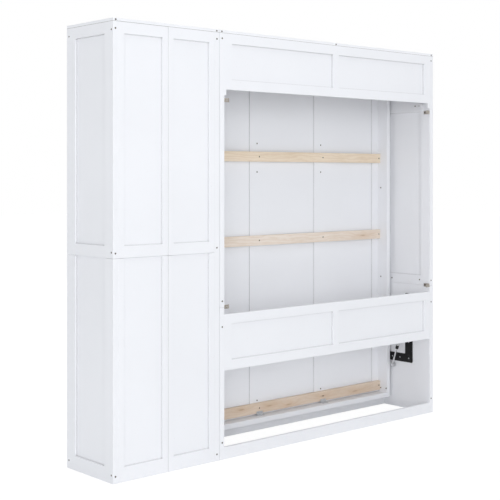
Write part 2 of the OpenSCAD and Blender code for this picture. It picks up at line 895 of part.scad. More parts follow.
// The recesses of the front board's panel i, in its rear face and, above and below the rail that
// carries the desk's hinges, in its front face
module panel_recesses(i) {
    x0 = front_x0 + edge_stile_w + i * (field_w + mullion_w);
    x1 = x0 + field_w;
    z0 = floor_gap + board_rail_h;
    z1 = bed_top_z - board_rail_h;
    slab(x0, x1, board_d - over, board_d + board_recess, z0, z1);
    slab(x0, x1, depth - board_recess, depth + over, z0, lock_rail[0]);
    slab(x0, x1, depth - board_recess, depth + over, lock_rail[1], z1);
}

module bed_front() {
    color(WHITE)
        difference() {
            slab(front_x0, front_x1, board_d, depth, floor_gap, bed_top_z);
            for (i = [0 : 2])
                panel_recesses(i);
            batten_places() screw_hole();
            handle_bolt_places() screw_hole(front_t);
            low_bolt_places() screw_hole(low_bolt_l);
        }
}

// The left side rail, with the bore that its pivot pin turns in
module side_rail() {
    difference() {
        slab(rail_x0, rail_x0 + rail_t, rail_d, board_d, mattress_z, rails_top);
        at(rail_x0 - over, pivot_d, pivot_z)
            to_right() cylinder(r = pivot_pin_r + 1, h = pivot_pin_in + 1 + over);
        rail_screw_places() screw_hole(rail_screw_l);
    }
}

module bed_rail_left() {
    color(WHITE) side_rail();
}

module bed_rail_right() {
    color(WHITE)
        translate([2 * bed_mid, 0, 0])
            mirror([1, 0, 0]) side_rail();
}

module bed_rail_bottom() {
    color(WHITE)
        slab(rail_x0, bay_x1 + rail_t, rail_d, board_d, floor_gap, mattress_z);
}

module bed_rail_top() {
    color(WHITE)
        slab(rail_x0, bay_x1 + rail_t, rail_d, board_d, rails_top, bed_top_z);
}

module bed_battens() {
    color(PINE)
        difference() {
            for (z = batten_heights)
                slab(bay_x0, bay_x1, batten_d, board_d, z - batten_w / 2, z + batten_w / 2);
            batten_places() screw_hole();
        }
}

// Screws through the battens, heads on the mattress side
module batten_places() {
    for (x = batten_xs, z = batten_heights)
        at(x, batten_d, z) to_wall() children();
}

// Bolts through the front board into the handles
module handle_bolt_places() {
    for (x = bolt_xs, z = handle_bolt_z)
        at(x, board_d, z) to_wall() children();
}

// Bolts in the mullions, just above the lowest batten
module low_bolt_places() {
    for (x = bolt_xs)
        at(x, board_d, low_bolt_z) to_wall() children();
}

// Screws in the inner face of the left side rail
module rail_screw_places() {
    for (p = rail_screws)
        at(bay_x0, p[0], p[1]) to_right() children();
}

module bed_screws() {
    color(BLACK) {
        batten_places() screw();
        handle_bolt_places() screw(front_t);
        low_bolt_places() screw(low_bolt_l);
        both_sides() rail_screw_places() screw(rail_screw_l);
    }
}

// Angle brackets between the bottom rail and the lowest batten, in line with the bolts
module corner_brackets() {
    half_w = corner_bracket_w / 2;
    color(ZINC)
        for (x = bolt_xs) {
            slab(x - half_w, x + half_w, batten_d - corner_leg, batten_d, mattress_z, mattress_z + corner_t);
            slab(x - half_w, x + half_w, batten_d - corner_t, batten_d, mattress_z, mattress_z + corner_leg);
        }
}

// Plates on the side rails, each with a tab that carries a strut's lower stud
module bed_pivot_plates() {
    x0 = rail_x0 - plate_t;
    half_l = 110;
    edge = 2;
    tab_r = 13;
    color(ZINC)
        both_sides()
            difference() {
                union() {
                    plate(x0, rail_x0, rail_d + edge, board_d - edge, pivot_z - half_l, pivot_z + half_l);
                    slab(x0, rail_x0, strut_foot_d, rail_d + plate_corner,
                         strut_foot_z - tab_r, strut_foot_z + tab_r);
                    at(x0, strut_foot_d, strut_foot_z) to_right() cylinder(r = tab_r, h = plate_t);
                }
                at(x0 - over, pivot_d, pivot_z)
                    to_right() cylinder(r = pivot_pin_r + run_fit, h = plate_t + 2 * over);
            }
}

module bed_handles() {
    color(BLACK)
        for (x = bolt_xs)
            at(x, depth, handle_z) handle();
}

// A leg bracket standing out along -Y from y = 0, with the leg's pin along X
module leg_bracket() {
    lug_t = 3;
    lug_r = 9;
    base_t = 2.5;
    base_half = tube_r + 18;
    base_h = 24;
    color(BLACK) {
        translate([-base_half, -base_t, -base_h / 2]) cube([2 * base_half, base_t, base_h]);
        for (x = [-tube_r - seat - lug_t, tube_r + seat])
            translate([x, -leg_offset, 0]) {
                translate([0, 0, -lug_r]) cube([lug_t, leg_offset, 2 * lug_r]);
                to_right() cylinder(r = lug_r, h = lug_t);
            }
        translate([-tube_r - lug_t, -leg_offset, 0])
            to_right() cylinder(r = leg_pin_r, h = 2 * (tube_r + lug_t));
    }
}

// Places the children at the left ends of the desk's hinges, turned so that Z runs along +X
module desk_hinges() {
    for (share = desk_hinge_shares)
        at(bed_mid + share * desk_w - desk_hinge_l / 2, desk_axis_d, desk_axis_z)
            to_right() children();
}

module front_hinge_plates() {
    color(BLACK) {
        desk_hinges() {
            hinge_fixed(desk_hinge_l);
            translate([hinge_r + seat, hinge_r + seat - leaf_t, 0])
                cube([leaf_w, leaf_t, desk_hinge_l]);
            for (z = [0, 2 * desk_hinge_l / 3 + seat])
                translate([0, hinge_r + seat - leaf_t, z])
                    cube([hinge_r + 1, leaf_t, desk_hinge_l / 3 - seat]);
        }
        for (side = [-1, 1])
            at(bed_mid + side * bed_leg_span / 2, depth, bed_leg_z) leg_bracket();
    }
}

// ---- Gas struts ----

// Places the children at a strut's upper stud, with -Z running down the strut; side is -1 for the
// left strut and 1 for the right
module strut_frame(side) {
    x = side == 1 ? open_x1 - strut_inset : open_x0 + strut_inset;
    at(x, strut_top_d, strut_top_z)
        rotate([-strut_angle, 0, 0]) children();
}

// A strut's cylinder with the eye at its upper end; the cap continues it at its lower end
module strut_cylinder(side) {
    eye_r = stud_r + 5;
    neck_l = 20;
    bore_top = 40;
    tube_l = cylinder_l - cap_l - neck_l;
    color(ZINC)
        strut_frame(side)
            difference() {
                union() {
                    translate([-eye_t / 2, 0, 0]) to_right() cylinder(r = eye_r, h = eye_t);
                    translate([0, 0, -neck_l - over]) cylinder(r = eye_t / 2 - 1, h = neck_l - stud_r);
                    translate([0, 0, -neck_l - tube_l]) cylinder(r = strut_r, h = tube_l);
                }
                translate([-eye_t, 0, 0]) to_right() cylinder(r = stud_r + run_fit, h = 2 * eye_t);
                translate([0, 0, -cylinder_l]) cylinder(r = rod_r + run_fit, h = cylinder_l - bore_top);
            }
}

// The sleeve that closes a cylinder's lower end round the rod
module strut_cap(side) {
    color(BLACK)
        strut_frame(side)
            translate([0, 0, -cylinder_l])
                difference() {
                    cylinder(r = cap_r, h = cap_l);
                    translate([0, 0, -over]) cylinder(r = rod_r + run_fit, h = cap_l + 2 * over);
                }
}

module strut_rod(side) {
    stud_l = strut_inset - rail_gap - seat;
    color(ZINC)
        strut_frame(side)
            translate([0, 0, -strut_long]) {
                cylinder(r = rod_r, h = strut_long - cylinder_l + rod_inside);
                translate([-eye_t / 2, 0, 0]) to_right() cylinder(r = rod_end_r, h = eye_t);
                translate([side == 1 ? 0 : -stud_l, 0, 0]) to_right() cylinder(r = stud_r, h = stud_l);
            }
}

module strut_cylinder_left() { strut_cylinder(-1); }
module strut_cylinder_right() { strut_cylinder(1); }
module strut_cap_left() { strut_cap(-1); }
module strut_cap_right() { strut_cap(1); }
module strut_rod_left() { strut_rod(-1); }
module strut_rod_right() { strut_rod(1); }

// ---- Desk ----

module desk_top() {
    half_w = desk_w / 2;
    color(WHITE)
        slab(bed_mid - half_w, bed_mid + half_w, desk_in, desk_out, desk_bottom, desk_bottom + desk_l);
}

module desk_fittings() {
    leaf_in = 1;
    web_t = 3;
    color(BLACK) {
        desk_hinges() {
            hinge_moving(desk_hinge_l);
            translate([-desk_edge_gap, desk_axis_d - desk_out + leaf_in, 0])
                cube([leaf_t, desk_out - desk_axis_d - leaf_in, desk_hinge_l]);
            translate([-desk_edge_gap, -web_t / 2, desk_hinge_l / 3])
                cube([desk_edge_gap - hinge_pin_r - 1, web_t, desk_hinge_l / 3]);
        }
        for (side = [-1, 1])
            at(bed_mid + side * desk_leg_span / 2, desk_out, desk_leg_z) leg_bracket();
    }
}

// The rubber foot on a leg's end
module leg_foot(l) {
    translate([0, 0, -l])
        difference() {
            cylinder(r = foot_r, h = foot_h);
            translate([0, 0, foot_sole]) cylinder(r = tube_r, h = foot_h);
        }
}

// Two round tube legs that hang from their pins, and the tube between them, bar_up above the
// floor when the legs stand; l is the height of the pins above the soles of the feet
module leg_frame(span, l, bar_up) {
    bar_r = tube_r - 2;
    difference() {
        union() {
            for (side = [-1, 1])
                translate([side * span / 2, 0, 0]) {
                    sphere(r = tube_r);
                    translate([0, 0, foot_sole - l]) cylinder(r = tube_r, h = l - foot_sole);
                }
            translate([-span / 2, 0, bar_up - l]) to_right() cylinder(r = bar_r, h = span);
        }
        for (side = [-1, 1])
            translate([side * span / 2, 0, 0]) {
                translate([-tube_r - over, 0, 0])
                    to_right() cylinder(r = leg_pin_r + run_fit, h = 2 * tube_r + 2 * over);
                translate([0, 0, -l]) cylinder(r = tube_r - tube_wall, h = l - 2 * tube_r);
            }
        translate([-span / 2, 0, bar_up - l]) to_right() cylinder(r = bar_r - tube_wall, h = span);
    }
}

module desk_leg_frame() {
    color(BLACK)
        at(bed_mid, desk_leg_d, desk_leg_z) leg_frame(desk_leg_span, desk_leg_l, desk_bar_up);
}

module desk_leg_feet() {
    color(BLACK)
        for (side = [-1, 1])
            at(bed_mid + side * desk_leg_span / 2, desk_leg_d, desk_leg_z) leg_foot(desk_leg_l);
}

module bed_leg_frame() {
    color(BLACK)
        at(bed_mid, bed_leg_d, bed_leg_z) leg_frame(bed_leg_span, bed_leg_l, bed_bar_up);
}

module bed_leg_feet() {
    color(BLACK)
        for (side = [-1, 1])
            at(bed_mid + side * bed_leg_span / 2, bed_leg_d, bed_leg_z) leg_foot(bed_leg_l);
}

// ---- Closet doors and drawers ----

// A framed front between x0 and x1 and z0 and z1, flush with the cabinet's front edge
module framed_front(x0, x1, z0, z1, frame) {
    color(WHITE)
        difference() {
            slab(x0, x1, face_d, depth, z0, z1);
            slab(x0 + frame, x1 - frame, depth - board_recess, depth + over, z0 + frame, z1 - frame);
        }
}

module closet_door_left() {
    x0 = room_x0 + door_gap;
    framed_front(x0, x0 + door_w, door_z0, door_z1, door_frame);
}

module closet_door_right() {
    x1 = room_x1 - door_gap;
    framed_front(x1 - door_w, x1, door_z0, door_z1, door_frame);
}

// The moving hinge leaves of one door, and its handle near the free edge
module door_fittings(side) {
    color(ZINC)
        door_hinges(side) {
            hinge_moving(hinge_l);
            translate([-leaf_w, hinge_r + seat - leaf_t, 0])
                cube([leaf_w - hinge_r - seat, leaf_t, hinge_l]);
            translate([-hinge_r - 1, hinge_r + seat - leaf_t, hinge_l / 3])
                cube([hinge_r + 1, leaf_t, hinge_l / 3]);
        }
    color(BLACK)
        at(closet_mid + side * (door_gap / 2 + door_frame / 2), depth, door_handle_z) handle();
}

module left_door_fittings() { door_fittings(-1); }
module right_door_fittings() { door_fittings(1); }

module drawer_front(z0) {
    framed_front(room_x0 + door_gap, room_x1 - door_gap, z0, z0 + drawer_face_h, drawer_frame);
}

// The box behind a drawer's front: two sides, a back, a sub-front and a bottom
module drawer_box(z0) {
    x0 = room_x0 + runner_w + slide_gap;
    x1 = room_x1 - runner_w - slide_gap;
    b0 = z0 + drawer_lift;
    color(WHITE)
        difference() {
            slab(x0, x1, drawer_d0, face_d, b0, b0 + drawer_h);
            slab(x0 + drawer_side_t, x1 - drawer_side_t, drawer_d0 + drawer_side_t, face_d - drawer_side_t,
                 b0 + drawer_floor_t, b0 + drawer_h + over);
        }
}

module drawer_fittings(z0) {
    zc = z0 + drawer_lift + drawer_h / 2;
    bar_h = runner_h - 2 * runner_t - 2 * seat;
    color(ZINC)
        translate([closet_mid, 0, 0])
            for (m = [0, 1])
                mirror([m, 0, 0]) translate([-closet_mid, 0, 0])
                    slab(room_x0 + runner_t + seat, room_x0 + runner_w + slide_gap, drawer_d0, face_d,
                         zc - bar_h / 2, zc + bar_h / 2);
    color(BLACK)
        at(closet_mid, depth - board_recess, z0 + drawer_face_h / 2)
            rotate([0, 90, 0]) handle();
}

module upper_drawer_front() { drawer_front(upper_drawer_z); }
module upper_drawer_box() { drawer_box(upper_drawer_z); }
module upper_drawer_fittings() { drawer_fittings(upper_drawer_z); }
module lower_drawer_front() { drawer_front(lower_drawer_z); }
module lower_drawer_box() { drawer_box(lower_drawer_z); }
module lower_drawer_fittings() { drawer_fittings(lower_drawer_z); }

closet_outer_side_upper();
closet_outer_side_lower();
closet_inner_side();
closet_top();
closet_back_upper();
closet_back_lower();
closet_fixed_shelves();
closet_hat_shelf();
shelf_and_rail_supports();
hanging_rail();
closet_bottom();
closet_kick_rail();
bed_side_inner();
bed_side_outer_upper();
bed_side_outer_lower();
bed_top();
rear_top_header();
rear_middle_header();
rear_bottom_rail();
front_kick_rail();
cabinet_screws();
wall_brackets();
pivot_brackets();
bracket_studs();
drawer_runners();
bed_stops();
door_hinge_plates();
bed_front();
bed_rail_left();
bed_rail_right();
bed_rail_bottom();
bed_rail_top();
bed_battens();
bed_screws();
corner_brackets();
bed_pivot_plates();
bed_handles();
front_hinge_plates();
strut_cylinder_left();
strut_cylinder_right();
strut_cap_left();
strut_cap_right();
strut_rod_left();
strut_rod_right();
desk_top();
desk_fittings();
desk_leg_frame();
desk_leg_feet();
bed_leg_frame();
bed_leg_feet();
closet_door_left();
left_door_fittings();
closet_door_right();
right_door_fittings();
upper_drawer_front();
upper_drawer_box();
upper_drawer_fittings();
lower_drawer_front();
lower_drawer_box();
lower_drawer_fittings();
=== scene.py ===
"""The looks of a white wall bed with a closet tower and a desk on the bed's front.

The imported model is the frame. Its boards and steel keep their shape and get softened edges and painted,
wooden or metal materials. Screws, handle rosettes, strut caps, wiper rings and collars, and rubber feet are
modelled here, at places read from the frame.
"""

import json
import math

import bmesh
import bpy
from mathutils import Matrix, Vector


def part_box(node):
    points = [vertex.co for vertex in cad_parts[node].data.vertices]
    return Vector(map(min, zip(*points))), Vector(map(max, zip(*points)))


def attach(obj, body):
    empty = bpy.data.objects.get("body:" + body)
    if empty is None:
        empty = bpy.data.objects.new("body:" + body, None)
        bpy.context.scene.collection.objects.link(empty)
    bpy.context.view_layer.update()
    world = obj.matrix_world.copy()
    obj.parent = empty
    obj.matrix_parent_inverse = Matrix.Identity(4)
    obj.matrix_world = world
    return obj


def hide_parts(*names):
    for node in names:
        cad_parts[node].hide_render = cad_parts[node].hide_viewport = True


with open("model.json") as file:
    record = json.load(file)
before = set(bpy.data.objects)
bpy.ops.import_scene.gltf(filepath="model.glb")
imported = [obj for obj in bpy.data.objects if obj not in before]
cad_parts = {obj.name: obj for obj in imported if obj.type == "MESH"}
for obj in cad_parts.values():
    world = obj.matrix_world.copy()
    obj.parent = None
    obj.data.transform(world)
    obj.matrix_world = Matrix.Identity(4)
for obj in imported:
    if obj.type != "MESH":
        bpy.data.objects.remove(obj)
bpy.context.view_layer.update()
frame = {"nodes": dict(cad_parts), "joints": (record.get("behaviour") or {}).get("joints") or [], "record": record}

NODES = frame["nodes"]
MM = 0.001

# Camera of the photograph: 500 x 500, level, looking at the unit's wall side
CAMERA_PLACE = (4.0401, 4.4143, 1.43165)
CAMERA_TURN = math.radians(180 - 41.6203)    # 0 looks along +Y
CAMERA_LENS = 78.6
CAMERA_SHIFT_Y = -0.1503

# Screws
HEAD_R = 4.5 * MM
HEAD_H = 2 * MM
SHANK_R = 2.5 * MM
CROSS_L = 5.2 * MM         # tip to tip of the drive cross
CROSS_W = 1.3 * MM
CROSS_DEPTH = 1.3 * MM
CROSS_TAPER = 0.72         # the cross's floor as a share of its mouth
HEAD_EDGE = 0.35 * MM      # chamfer round the head
NECK_STEP = 0.02 * MM      # from the head's underside to the shank
SCREW_SIDES = 24
SPIN_STEP = 2.4            # radians from one screw's cross to the next
SMALL_SPIN_STEP = 1.7

# Paint, coats and plating
WHITE = (0.845, 0.853, 0.885)
BLACK_COAT = (0.006, 0.006, 0.0065)
BLACK_PLASTIC = (0.008, 0.008, 0.009)
ZINC_DARK = (0.50, 0.51, 0.53)
ZINC_LIGHT = (0.66, 0.67, 0.68)
# Height of the painted shade along the arris at the joint under a top board
JOINT_SHADE_HEIGHT = 1.6 * MM
# How far the faint painted shade in the corners of a board's recesses reaches
CORNER_REACH = 7 * MM

# ---- Materials ----

class Shader:
    """A material with a Principled shader, and short ways to add nodes to it."""

    def __init__(self, name):
        self.material = bpy.data.materials.new(name)
        self.material.use_nodes = True
        self.tree = self.material.node_tree
        self.main = self.tree.nodes["Principled BSDF"]

    def node(self, kind, **settings):
        made = self.tree.nodes.new(kind)
        for key, value in settings.items():
            setattr(made, key, value)
        return made

    def link(self, out, into):
        self.tree.links.new(out, into)

    def set(self, **values):
        """Sets the shader's own sockets, with _ for a space in the names."""
        for key, value in values.items():
            self.main.inputs[key.replace("_", " ")].default_value = value

    def place(self, scale=(1, 1, 1), shift=(0, 0, 0)):
        """The object's own coordinates in metres, stretched by scale."""
        coordinates = self.node("ShaderNodeTexCoord")
        mapping = self.node("ShaderNodeMapping")
        mapping.inputs["Scale"].default_value = scale
        mapping.inputs["Location"].default_value = shift
        self.link(coordinates.outputs["Object"], mapping.inputs["Vector"])
        return mapping.outputs["Vector"]

    def axes(self):
        """The object's own coordinates in metres, as the sockets X, Y and Z."""
        split = self.node("ShaderNodeSeparateXYZ")
        self.link(self.node("ShaderNodeTexCoord").outputs["Object"], split.inputs["Vector"])
        return split.outputs

    def noise(self, where, scale, detail=2.0, rough=0.5, distort=0.0):
        made = self.node("ShaderNodeTexNoise")
        made.inputs["Scale"].default_value = scale
        made.inputs["Detail"].default_value = detail
        made.inputs["Roughness"].default_value = rough
        made.inputs["Distortion"].default_value = distort
        self.link(where, made.inputs["Vector"])
        return made.outputs["Fac"]

    def ramp(self, value, *stops):
        """A colour ramp; each stop is (position, colour)."""
        made = self.node("ShaderNodeValToRGB")
        points = made.color_ramp.elements
        while len(points) < len(stops):
            points.new(0.5)
        for point, (position, colour) in zip(points, stops):
            point.position = position
            point.color = (*colour, 1)
        self.link(value, made.inputs["Fac"])
        return made.outputs["Color"]

    def span(self, value, low, high, start=0, end=1):
        """Maps start..end to low..high."""
        made = self.node("ShaderNodeMapRange")
        made.inputs["From Min"].default_value = start
        made.inputs["From Max"].default_value = end
        made.inputs["To Min"].default_value = low
        made.inputs["To Max"].default_value = high
        self.link(value, made.inputs["Value"])
        return made.outputs["Result"]

    def maths(self, operation, a, b=None):
        made = self.node("ShaderNodeMath", operation=operation)
        for socket, value in zip(made.inputs, (a, b)):
            if value is None:
                continue
            if isinstance(value, (int, float)):
                socket.default_value = value
            else:
                self.link(value, socket)
        return made.outputs["Value"]

    def mix(self, factor, a, b, blend="MIX"):
        """Mixes two colours, which may be sockets or tuples."""
        made = self.node("ShaderNodeMix", data_type="RGBA", blend_type=blend)
        for name, value in (("Factor_Float", factor), ("A_Color", a), ("B_Color", b)):
            socket = next(s for s in made.inputs if s.identifier == name)
            if isinstance(value, bpy.types.NodeSocket):
                self.link(value, socket)
            elif isinstance(value, (int, float)):
                socket.default_value = value
            else:
                socket.default_value = (*value, 1)
        return next(s for s in made.outputs if s.identifier == "Result_Color")

    def bump(self, height, distance, strength=1.0, under=None):
        made = self.node("ShaderNodeBump")
        made.inputs["Distance"].default_value = distance
        made.inputs["Strength"].default_value = strength
        self.link(height, made.inputs["Height"])
        if under is not None:
            self.link(under, made.inputs["Normal"])
        return made.outputs["Normal"]


def white_paint(name, joint_z=None):
    """Sprayed satin paint on fibreboard: faint cloudiness, orange peel, dust specks, and painted shade in recess
    corners.

    Where joint_z is given, the board's arris just above that height is darkened: painted shade of the joint's gap.
    """
    m = Shader(name)
    where = m.place()
    clouds = m.noise(where, 1.7, 3)
    darker = tuple(c * 0.975 for c in WHITE)
    tone = m.ramp(clouds, (0.3, darker), (0.7, WHITE))
    specks = m.noise(where, 160, 1)
    dust = m.ramp(specks, (0.71, (1, 1, 1)), (0.80, (0.93, 0.925, 0.91)))
    # Painted shade: an ambient occlusion mask darkens the paint in recess corners, where shade falls.
    corner = m.node("ShaderNodeAmbientOcclusion", samples=8, only_local=True)
    corner.inputs["Distance"].default_value = CORNER_REACH
    corner_shade = m.ramp(corner.outputs["AO"], (0.40, (0.66, 0.65, 0.64)), (0.92, (1, 1, 1)))
    painted = m.mix(1.0, m.mix(1.0, tone, dust, "MULTIPLY"), corner_shade, "MULTIPLY")
    if joint_z is not None:
        # Painted shade: a thin dark band on the top board's lowest arris stands in for the shadow in the joint's
        # gap.
        above = m.maths("SUBTRACT", m.axes()["Z"], joint_z)
        joint_shade = m.maths("LESS_THAN", above, JOINT_SHADE_HEIGHT)
        painted = m.mix(m.maths("MULTIPLY", joint_shade, 0.85), painted, (0.30, 0.29, 0.28))
    m.link(painted, m.main.inputs["Base Color"])
    m.link(m.span(m.noise(where, 9, 4), 0.34, 0.50), m.main.inputs["Roughness"])
    peel = m.bump(m.noise(where, 700, 2), 0.05 * MM, 0.5)
    waves = m.bump(m.noise(m.place((6, 6, 1.5)), 5, 2), 0.4 * MM, 0.35, peel)
    m.link(waves, m.main.inputs["Normal"])
    m.set(Coat_Weight=0.12, Coat_Roughness=0.25)
    return m.material


# How fast a knot fades along and up the batten, per metre, its heart's radius and its blur, in knot sizes
KNOTS_PER_M_ALONG = 15
KNOTS_PER_M_UP = 72
KNOT_HEART = 0.30
HEART_BLUR = 0.12
# Radians of growth ring per metre up and into the wood
RINGS_UP = 170
RINGS_DEEP = 120


def pine(name, knots, tones):
    """Planed pine with its grain along X.

    knots are (x, z) places in metres, and tones are (z, colour) of the battens.
    """
    m = Shader(name)
    at = m.axes()
    wander = m.noise(m.place((2.2, 9, 9)), 2.0, 3, 0.55)
    nearest = None
    for x, z in knots:
        across = m.maths("MULTIPLY", m.maths("SUBTRACT", at["X"], x), KNOTS_PER_M_ALONG)
        up = m.maths("MULTIPLY", m.maths("SUBTRACT", at["Z"], z), KNOTS_PER_M_UP)
        squares = m.maths("ADD", m.maths("MULTIPLY", across, across), m.maths("MULTIPLY", up, up))
        away = m.maths("SQRT", squares)
        nearest = away if nearest is None else m.maths("MINIMUM", nearest, away)
    swell = m.maths("EXPONENT", m.maths("MULTIPLY", nearest, -0.8))
    height = m.maths("ADD", m.maths("MULTIPLY", at["Z"], RINGS_UP), m.maths("MULTIPLY", wander, 12))
    field = m.maths("ADD", m.maths("ADD", height, m.maths("MULTIPLY", at["Y"], RINGS_DEEP)),
                    m.maths("MULTIPLY", swell, 7))
    rings = m.maths("ABSOLUTE", m.maths("SINE", field))
    late = m.maths("POWER", rings, 3.0)
    fibres = m.noise(m.place((14, 420, 420)), 3.0, 3, 0.6)
    blotches = m.noise(m.place((1.6, 6, 6)), 2.4, 3, 0.6)
    batten = m.ramp(m.maths("DIVIDE", at["Z"], PINE_TOP), *((z / PINE_TOP, tone) for z, tone in tones))
    shade = m.ramp(blotches, (0.34, (0.90, 0.87, 0.83)), (0.52, (0.97, 0.96, 0.95)), (0.70, (1, 1, 1)))
    pale = m.mix(1.0, batten, shade, "MULTIPLY")
    grain = m.mix(m.maths("MULTIPLY", late, 0.24), pale, (0.60, 0.42, 0.27))
    fine = m.mix(m.maths("MULTIPLY", fibres, 0.16), grain, (0.62, 0.46, 0.31))
    heart = m.span(m.maths("SUBTRACT", KNOT_HEART, nearest), 0, 1, -HEART_BLUR, HEART_BLUR)
    halo = m.maths("MULTIPLY", swell, 0.62)
    ringed = m.mix(halo, fine, (0.56, 0.37, 0.215))
    knotted = m.mix(m.maths("MULTIPLY", heart, 0.35), ringed, (0.34, 0.205, 0.12))
    m.link(knotted, m.main.inputs["Base Color"])
    m.link(m.span(fibres, 0.50, 0.72), m.main.inputs["Roughness"])
    pores = m.bump(fibres, 0.15 * MM, 0.5)
    m.link(m.bump(late, 0.12 * MM, 0.4, pores), m.main.inputs["Normal"])
    return m.material


def powder_coat(name):
    """Fine-textured black powder coat."""
    m = Shader(name)
    where = m.place()
    m.link(m.ramp(m.noise(where, 40, 3), (0.3, BLACK_COAT), (0.75, tuple(c * 1.9 for c in BLACK_COAT))),
           m.main.inputs["Base Color"])
    m.link(m.span(m.noise(where, 260, 2), 0.42, 0.62), m.main.inputs["Roughness"])
    m.link(m.bump(m.noise(where, 1500, 2), 0.08 * MM, 0.55), m.main.inputs["Normal"])
    m.set(Specular_IOR_Level=0.22)
    return m.material


def black_and_zinc(name, middle_x, half_width):
    """Powder coat within half_width of middle_x, where the handles are, and zinc plate beyond it."""
    m = Shader(name)
    where = m.place()
    away = m.maths("ABSOLUTE", m.maths("SUBTRACT", m.axes()["X"], middle_x))
    zinc = m.maths("GREATER_THAN", away, half_width)
    coat = m.ramp(m.noise(where, 40, 3), (0.3, BLACK_COAT), (0.75, tuple(c * 2 for c in BLACK_COAT)))
    plate = m.ramp(m.noise(where, 55, 3, 0.6, 0.4), (0.32, ZINC_DARK), (0.68, ZINC_LIGHT))
    m.link(m.mix(zinc, coat, plate), m.main.inputs["Base Color"])
    m.link(zinc, m.main.inputs["Metallic"])
    marks = m.noise(where, 260, 2)
    smoother = m.maths("SUBTRACT", marks, m.maths("MULTIPLY", zinc, 0.9))
    m.link(m.span(smoother, 0.42, 0.62), m.main.inputs["Roughness"])
    m.link(m.bump(m.noise(where, 1500, 2), 0.06 * MM, 0.5), m.main.inputs["Normal"])
    m.set(Specular_IOR_Level=0.22)
    return m.material


def plated(name, dark, light, rough=(0.22, 0.42), streak=(1, 1, 1)):
    """Plated or drawn metal: cloudy tone, and fine marks along the least scaled axis."""
    m = Shader(name)
    m.set(Metallic=1.0)
    clouds = m.noise(m.place(), 55, 3, 0.6, 0.4)
    m.link(m.ramp(clouds, (0.32, dark), (0.68, light)), m.main.inputs["Base Color"])
    marks = m.noise(m.place(streak), 300, 3)
    m.link(m.span(marks, *rough), m.main.inputs["Roughness"])
    m.link(m.bump(marks, 0.02 * MM, 0.35), m.main.inputs["Normal"])
    return m.material


def dull_zinc(name):
    """Aged zinc plate: warm grey with darker, browner clouds and fine rolling marks."""
    m = Shader(name)
    m.set(Metallic=0.85)
    film = m.noise(m.place(), 60, 3, 0.6, 0.8)
    tones = m.ramp(film, (0.28, (0.27, 0.24, 0.21)), (0.50, (0.42, 0.385, 0.345)),
                   (0.72, (0.56, 0.525, 0.48)))
    m.link(tones, m.main.inputs["Base Color"])
    marks = m.noise(m.place((1, 1, 4)), 350, 2)
    m.link(m.span(marks, 0.38, 0.60), m.main.inputs["Roughness"])
    m.link(m.bump(marks, 0.02 * MM, 0.4), m.main.inputs["Normal"])
    return m.material


def enamel(name, colour):
    """Smooth sprayed enamel on a tube, with faint orange peel."""
    m = Shader(name)
    where = m.place()
    m.link(m.ramp(m.noise(where, 30, 3), (0.3, tuple(c * 0.94 for c in colour)), (0.7, colour)),
           m.main.inputs["Base Color"])
    m.link(m.span(m.noise(where, 90, 3), 0.24, 0.38), m.main.inputs["Roughness"])
    m.link(m.bump(m.noise(where, 900, 2), 0.03 * MM, 0.4), m.main.inputs["Normal"])
    m.set(Metallic=0.35, Coat_Weight=0.3, Coat_Roughness=0.15)
    return m.material


def moulded_plastic(name):
    """Black moulded plastic with a fine spark-eroded texture."""
    m = Shader(name)
    where = m.place()
    m.link(m.ramp(m.noise(where, 60, 2), (0.35, BLACK_PLASTIC), (0.7, tuple(c * 1.6 for c in BLACK_PLASTIC))),
           m.main.inputs["Base Color"])
    m.link(m.span(m.noise(where, 200, 3), 0.40, 0.58), m.main.inputs["Roughness"])
    m.link(m.bump(m.noise(where, 1300, 2), 0.05 * MM, 0.5), m.main.inputs["Normal"])
    m.set(Specular_IOR_Level=0.35)
    return m.material


def rubber(name):
    """Matt black rubber, slightly uneven in tone."""
    m = Shader(name)
    where = m.place()
    m.link(m.ramp(m.noise(where, 50, 3), (0.3, (0.018, 0.018, 0.018)), (0.7, (0.035, 0.034, 0.033))),
           m.main.inputs["Base Color"])
    m.link(m.span(m.noise(where, 120, 3), 0.62, 0.85), m.main.inputs["Roughness"])
    m.link(m.bump(m.noise(where, 900, 2), 0.08 * MM, 0.5), m.main.inputs["Normal"])
    return m.material


# ---- Mesh helpers ----

def new_piece(name, mesh_maker, material, body):
    """A mesh object made by mesh_maker(bmesh), riding on a body."""
    work = bmesh.new()
    mesh_maker(work)
    bmesh.ops.recalc_face_normals(work, faces=work.faces)
    mesh = bpy.data.meshes.new(name)
    work.to_mesh(mesh)
    work.free()
    piece = bpy.data.objects.new(name, mesh)
    bpy.context.scene.collection.objects.link(piece)
    piece.data.materials.append(material)
    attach(piece, body)
    return piece


WELD = 0.01 * MM              # points closer than this are one
END_SLICE = 0.1 * MM          # points this near an end of a screw belong to that end


def islands(node):
    """The separate solids of a CAD node, each as its list of points."""
    work = bmesh.new()
    work.from_mesh(NODES[node].data)
    bmesh.ops.remove_doubles(work, verts=work.verts, dist=WELD)
    left = set(work.verts)
    found = []
    while left:
        queue = [left.pop()]
        group = []
        while queue:
            vertex = queue.pop()
            group.append(vertex.co.copy())
            for edge in vertex.link_edges:
                other = edge.other_vert(vertex)
                if other in left:
                    left.remove(other)
                    queue.append(other)
        found.append(group)
    work.free()
    return sorted(found, key=lambda g: tuple(round(c, 4) for c in sum(g, Vector()) / len(g)))


def corners(points):
    """The lowest and highest corners of the box round some points."""
    low = Vector(min(p[i] for p in points) for i in range(3))
    high = Vector(max(p[i] for p in points) for i in range(3))
    return low, high


